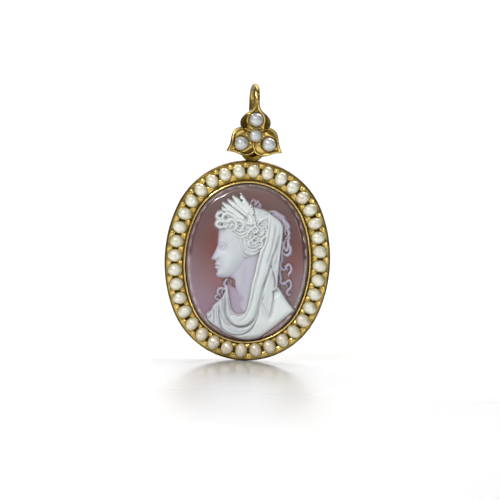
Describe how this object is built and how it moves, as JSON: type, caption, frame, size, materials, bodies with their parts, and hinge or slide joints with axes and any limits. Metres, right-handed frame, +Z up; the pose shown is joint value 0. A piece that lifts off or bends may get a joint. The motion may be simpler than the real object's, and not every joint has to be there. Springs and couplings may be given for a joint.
{
  "type": "cameo_pendant",
  "caption": "Antique oval cameo pendant: a carved agate bust in profile, set in a gold frame with a border of pearls, hanging from a gold bail with a three-leaf pearl-set front",
  "frame": {"origin": "the inner top of the bail's loop, where the chain bears", "axes": "+X to the viewer's right, -Y the front, +Z up along the pendant's height"},
  "size_m": [0.0392, 0.0098, 0.0657],
  "materials": {
    "gold": "worn antique yellow gold, olive in the recesses",
    "agate": "layered agate, white relief on a polished mauve-brown ground",
    "bail_pearl": "white pearl lustre",
    "border_pearl": "cream pearl lustre"
  },
  "bodies": {
    "bail": {"bail": "gold", "bail_pearl_top": "bail_pearl", "bail_pearl_centre": "bail_pearl", "bail_pearl_left": "bail_pearl", "bail_pearl_right": "bail_pearl"},
    "pendant": {"frame": "gold", "cameo_stone": "agate", "border_pearl_01": "border_pearl", "border_pearl_02": "border_pearl", "border_pearl_03": "border_pearl", "border_pearl_04": "border_pearl", "border_pearl_05": "border_pearl", "border_pearl_06": "border_pearl", "border_pearl_07": "border_pearl", "border_pearl_08": "border_pearl", "border_pearl_09": "border_pearl", "border_pearl_10": "border_pearl", "border_pearl_11": "border_pearl", "border_pearl_12": "border_pearl", "border_pearl_13": "border_pearl", "border_pearl_14": "border_pearl", "border_pearl_15": "border_pearl", "border_pearl_16": "border_pearl", "border_pearl_17": "border_pearl", "border_pearl_18": "border_pearl", "border_pearl_19": "border_pearl", "border_pearl_20": "border_pearl", "border_pearl_21": "border_pearl", "border_pearl_22": "border_pearl", "border_pearl_23": "border_pearl", "border_pearl_24": "border_pearl", "border_pearl_25": "border_pearl", "border_pearl_26": "border_pearl", "border_pearl_27": "border_pearl", "border_pearl_28": "border_pearl", "border_pearl_29": "border_pearl", "border_pearl_30": "border_pearl", "border_pearl_31": "border_pearl", "border_pearl_32": "border_pearl", "border_pearl_33": "border_pearl", "border_pearl_34": "border_pearl", "border_pearl_35": "border_pearl", "border_pearl_36": "border_pearl"}
  },
  "joints": [
    {"name": "bail_hinge", "type": "hinge", "parent": "bail", "child": "pendant", "pos_m": [0, 0, -0.0123], "axis": [1, 0, 0], "range_deg": [-20, 90]}
  ]
}
